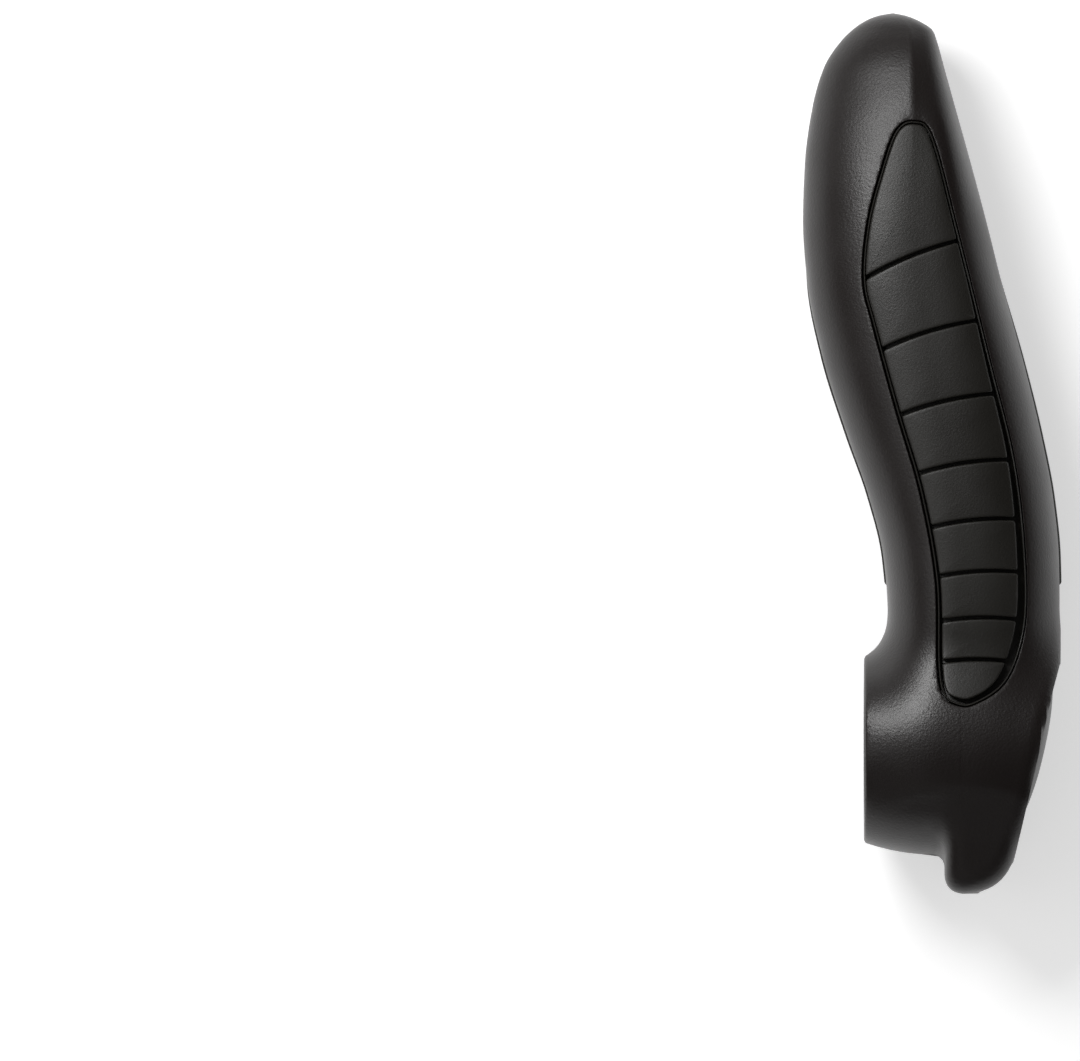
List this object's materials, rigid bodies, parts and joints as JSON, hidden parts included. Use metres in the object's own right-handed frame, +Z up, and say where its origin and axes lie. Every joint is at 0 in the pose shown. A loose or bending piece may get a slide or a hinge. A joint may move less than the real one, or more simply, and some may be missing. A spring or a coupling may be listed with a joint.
{
  "type": "bar end",
  "caption": "Curved forward-pointing bar end for a flat handlebar, with a split clamp collar, a ribbed rubber palm inlay on top, a rubber finger pad underneath and a domed end cap.",
  "frame": {"origin": "on the handlebar's axis, at the end cap's flat inner face, where the bar's end stops", "axes": "+X outboard along the handlebar, +Y forward along the horn, +Z up with the palm inlay on top"},
  "size_m": [0.041, 0.1396, 0.0341],
  "materials": {
    "nylon_black": "fine spark-eroded grain, black glass-filled nylon",
    "rubber_black": "matt soft rubber",
    "cap_black": "smooth satin black plastic",
    "steel_black": "black oxide steel",
    "steel_bright": "zinc-plated steel"
  },
  "bodies": {
    "root": {"bar_end_body": "nylon_black", "top_grip_inlay": "rubber_black", "under_grip_inlay": "rubber_black", "end_cap": "cap_black", "clamp_bolt": "steel_black", "clamp_washer": "steel_bright", "clamp_nut": "steel_bright"}
  },
  "joints": []
}
